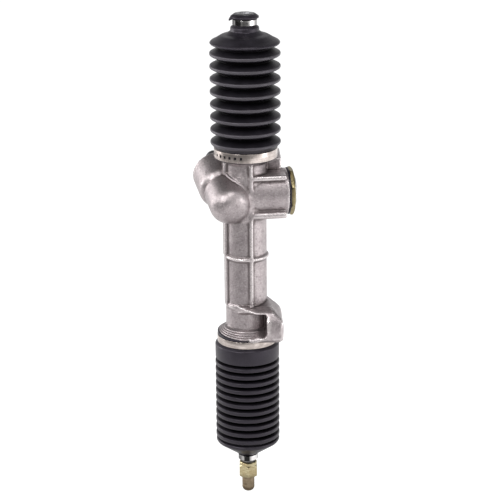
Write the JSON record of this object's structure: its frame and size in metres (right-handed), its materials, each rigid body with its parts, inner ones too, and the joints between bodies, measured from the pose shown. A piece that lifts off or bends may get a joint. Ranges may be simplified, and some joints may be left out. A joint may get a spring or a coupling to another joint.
{
  "type": "steering gear",
  "caption": "Manual rack and pinion steering gear: cast housing with pinion tower, yoke boss and two ears, ribbed bellows at both ends, threaded stud for a tie rod.",
  "frame": {"origin": "on the rack axis at the lower locknut's outer face, where a tie rod end seats on the stud", "axes": "+Z along the rack towards its upper end, +X towards the mounting face and the yoke plug, -Y towards the cast front rib"},
  "size_m": [0.0929, 0.0975, 0.4737],
  "materials": {
    "cast_aluminium": "sand-cast, slightly pinkish grey, matt",
    "rack_steel": "ground bar steel",
    "machined_steel": "machined bright",
    "stud_steel": "dull bronze grey plated thread",
    "zinc_yellow": "pale yellow zinc plate",
    "zinc_olive": "olive yellow zinc plate",
    "bearing_steel": "ground and polished",
    "cage_brass": "pressed brass",
    "band_steel": "rolled stainless strip",
    "neck_band_steel": "bright spring strip",
    "bush_plastic": "acetal",
    "bush_bronze": "sintered bronze",
    "liner_plastic": "glass-filled plastic",
    "spring_steel": "oiled spring wire",
    "bellows_rubber": "matt black with a faint sheen",
    "seal_rubber": "black nitrile"
  },
  "bodies": {
    "gear_housing": {"housing": "cast_aluminium", "rack_bush": "bush_plastic", "pinion_lower_bush": "bush_bronze", "bearing_outer_ring": "bearing_steel", "pinion_cover": "machined_steel", "pinion_oil_seal": "seal_rubber", "yoke_plug": "machined_steel", "yoke_ring_nut": "zinc_olive", "yoke_seal": "seal_rubber", "upper_bellows": "bellows_rubber", "lower_bellows": "bellows_rubber", "upper_band_clamp": "band_steel", "upper_clamp_bridge": "band_steel", "upper_clamp_screw": "machined_steel", "lower_band_clamp": "band_steel", "lower_clamp_ear": "band_steel"},
    "rack": {"rack_bar": "rack_steel", "rack_stud": "stud_steel", "stud_locknut": "zinc_yellow", "lower_stop_ring": "machined_steel", "upper_stop_ring": "machined_steel", "upper_neck_clamp": "neck_band_steel", "lower_neck_clamp": "neck_band_steel"},
    "pinion": {"pinion_shaft": "rack_steel", "bearing_inner_ring": "bearing_steel", "bearing_circlip": "spring_steel"},
    "ball_set": {"bearing_balls": "bearing_steel", "bearing_cage": "cage_brass"},
    "yoke_support": {"yoke": "machined_steel", "yoke_liner": "liner_plastic", "yoke_o_ring": "seal_rubber", "yoke_spring": "spring_steel"}
  },
  "joints": [
    {"name": "rack_slide", "type": "slide", "parent": "gear_housing", "child": "rack", "axis": [0, 0, 1], "range_m": [-0.06, 0.06], "deforming": ["lower_bellows", "upper_bellows"]},
    {"name": "pinion_spin", "type": "hinge", "parent": "gear_housing", "child": "pinion", "pos_m": [-0.01631, -0.00229, 0.288], "axis": [-0.1299, 0.9245, 0.3584], "range_deg": [-407.7, 407.7]},
    {"name": "ball_set_spin", "type": "hinge", "parent": "gear_housing", "child": "ball_set", "pos_m": [-0.01631, -0.00229, 0.288], "axis": [-0.1299, 0.9245, 0.3584], "range_deg": [-155, 155]},
    {"name": "yoke_lift", "type": "slide", "parent": "gear_housing", "child": "yoke_support", "axis": [1, 0, 0], "range_m": [0, 0.0003], "stiffness_N_per_m": 5000, "springref_m": -0.002}
  ],
  "couplings": [
    {"joint": "pinion_spin", "follows": "rack_slide", "rad_per_m": -118.55},
    {"joint": "ball_set_spin", "follows": "rack_slide", "rad_per_m": -45.049}
  ]
}
